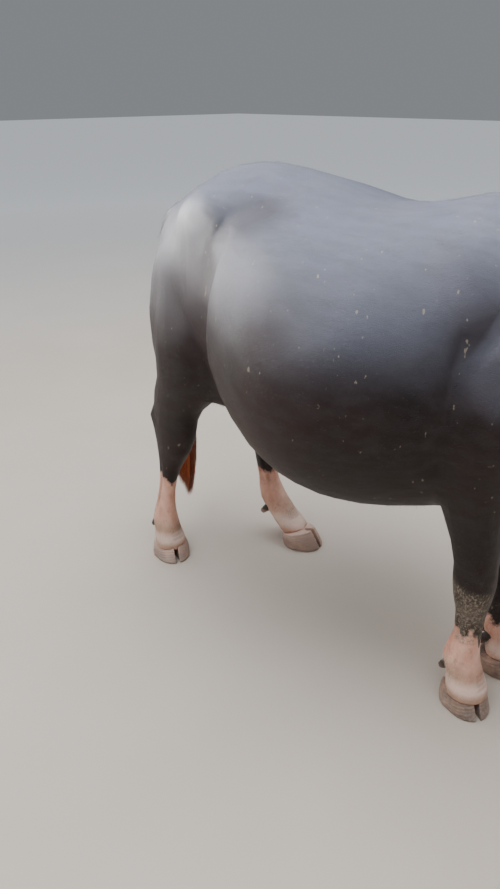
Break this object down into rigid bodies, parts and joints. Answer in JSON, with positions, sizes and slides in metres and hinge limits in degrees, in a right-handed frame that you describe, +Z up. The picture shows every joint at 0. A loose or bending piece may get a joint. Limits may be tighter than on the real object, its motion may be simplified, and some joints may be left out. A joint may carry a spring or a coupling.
{
  "type": "standing dairy buffalo cow, life-size still model",
  "caption": "Life-size standing dairy buffalo with a full round belly, dark skin, pale stockings, small tightly coiled horns, drooping ears and a hanging tail with a brush.",
  "frame": {"origin": "middle of the overall box at floor level, under the belly", "axes": "+X towards the head, +Y towards the animal's left side, +Z up; the hoof soles stand on z = 0"},
  "size_m": [2.2358, 0.885, 1.4531],
  "materials": {
    "hide": "satin",
    "stocking": "matte",
    "hoof": "matte",
    "horn": "satin",
    "eye": "gloss",
    "tail_hair": "matte"
  },
  "bodies": {
    "root": {"torso": "hide", "neck": "hide", "head": "hide", "ear_left": "hide", "ear_right": "hide", "horn_left": "horn", "horn_right": "horn", "eye_left": "eye", "eye_right": "eye", "udder": "hide", "tail_upper": "hide", "tail_lower": "hide", "tail_switch": "tail_hair", "leg_hind_right_upper": "hide", "leg_hind_right_lower": "stocking", "hoof_hind_right_outer": "hoof", "hoof_hind_right_inner": "hoof", "dewclaw_hind_right_outer": "hoof", "dewclaw_hind_right_inner": "hoof", "leg_hind_left_upper": "hide", "leg_hind_left_lower": "stocking", "hoof_hind_left_outer": "hoof", "hoof_hind_left_inner": "hoof", "dewclaw_hind_left_outer": "hoof", "dewclaw_hind_left_inner": "hoof", "leg_fore_right_upper": "hide", "leg_fore_right_lower": "stocking", "hoof_fore_right_outer": "hoof", "hoof_fore_right_inner": "hoof", "dewclaw_fore_right_outer": "hoof", "dewclaw_fore_right_inner": "hoof", "leg_fore_left_upper": "hide", "leg_fore_left_lower": "stocking", "hoof_fore_left_outer": "hoof", "hoof_fore_left_inner": "hoof", "dewclaw_fore_left_outer": "hoof", "dewclaw_fore_left_inner": "hoof"}
  },
  "joints": []
}
